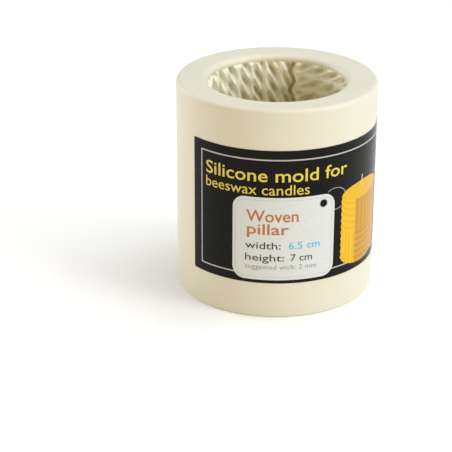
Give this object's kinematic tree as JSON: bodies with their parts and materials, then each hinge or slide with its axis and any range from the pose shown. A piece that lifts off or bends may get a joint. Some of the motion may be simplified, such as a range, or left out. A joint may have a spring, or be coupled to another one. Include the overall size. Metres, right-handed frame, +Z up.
{
  "type": "candle mold",
  "caption": "Round silicone cup slit down one side, with a twisted-rope pattern in its cavity for casting a pillar candle, a wick hole in the base and a wrapped label.",
  "frame": {"origin": "middle of the flat underside", "axes": "+Z up along the cup's axis to its open rim, +Y to the slit, -Y to the uncut wall under the label"},
  "size_m": [0.0901, 0.0902, 0.0973],
  "materials": {
    "silicone": "satin",
    "label_film": "glossy"
  },
  "bodies": {
    "left_side": {"left_half": "silicone", "living_hinge": "silicone", "label": "label_film"},
    "right_side": {"right_half": "silicone"}
  },
  "joints": [
    {"name": "wall_hinge", "type": "hinge", "parent": "left_side", "child": "right_side", "pos_m": [0, -0.038, 0], "axis": [0, 0, -1], "range_deg": [0, 40], "stiffness_Nm_per_rad": 1, "deforming": ["living_hinge", "label"]}
  ]
}
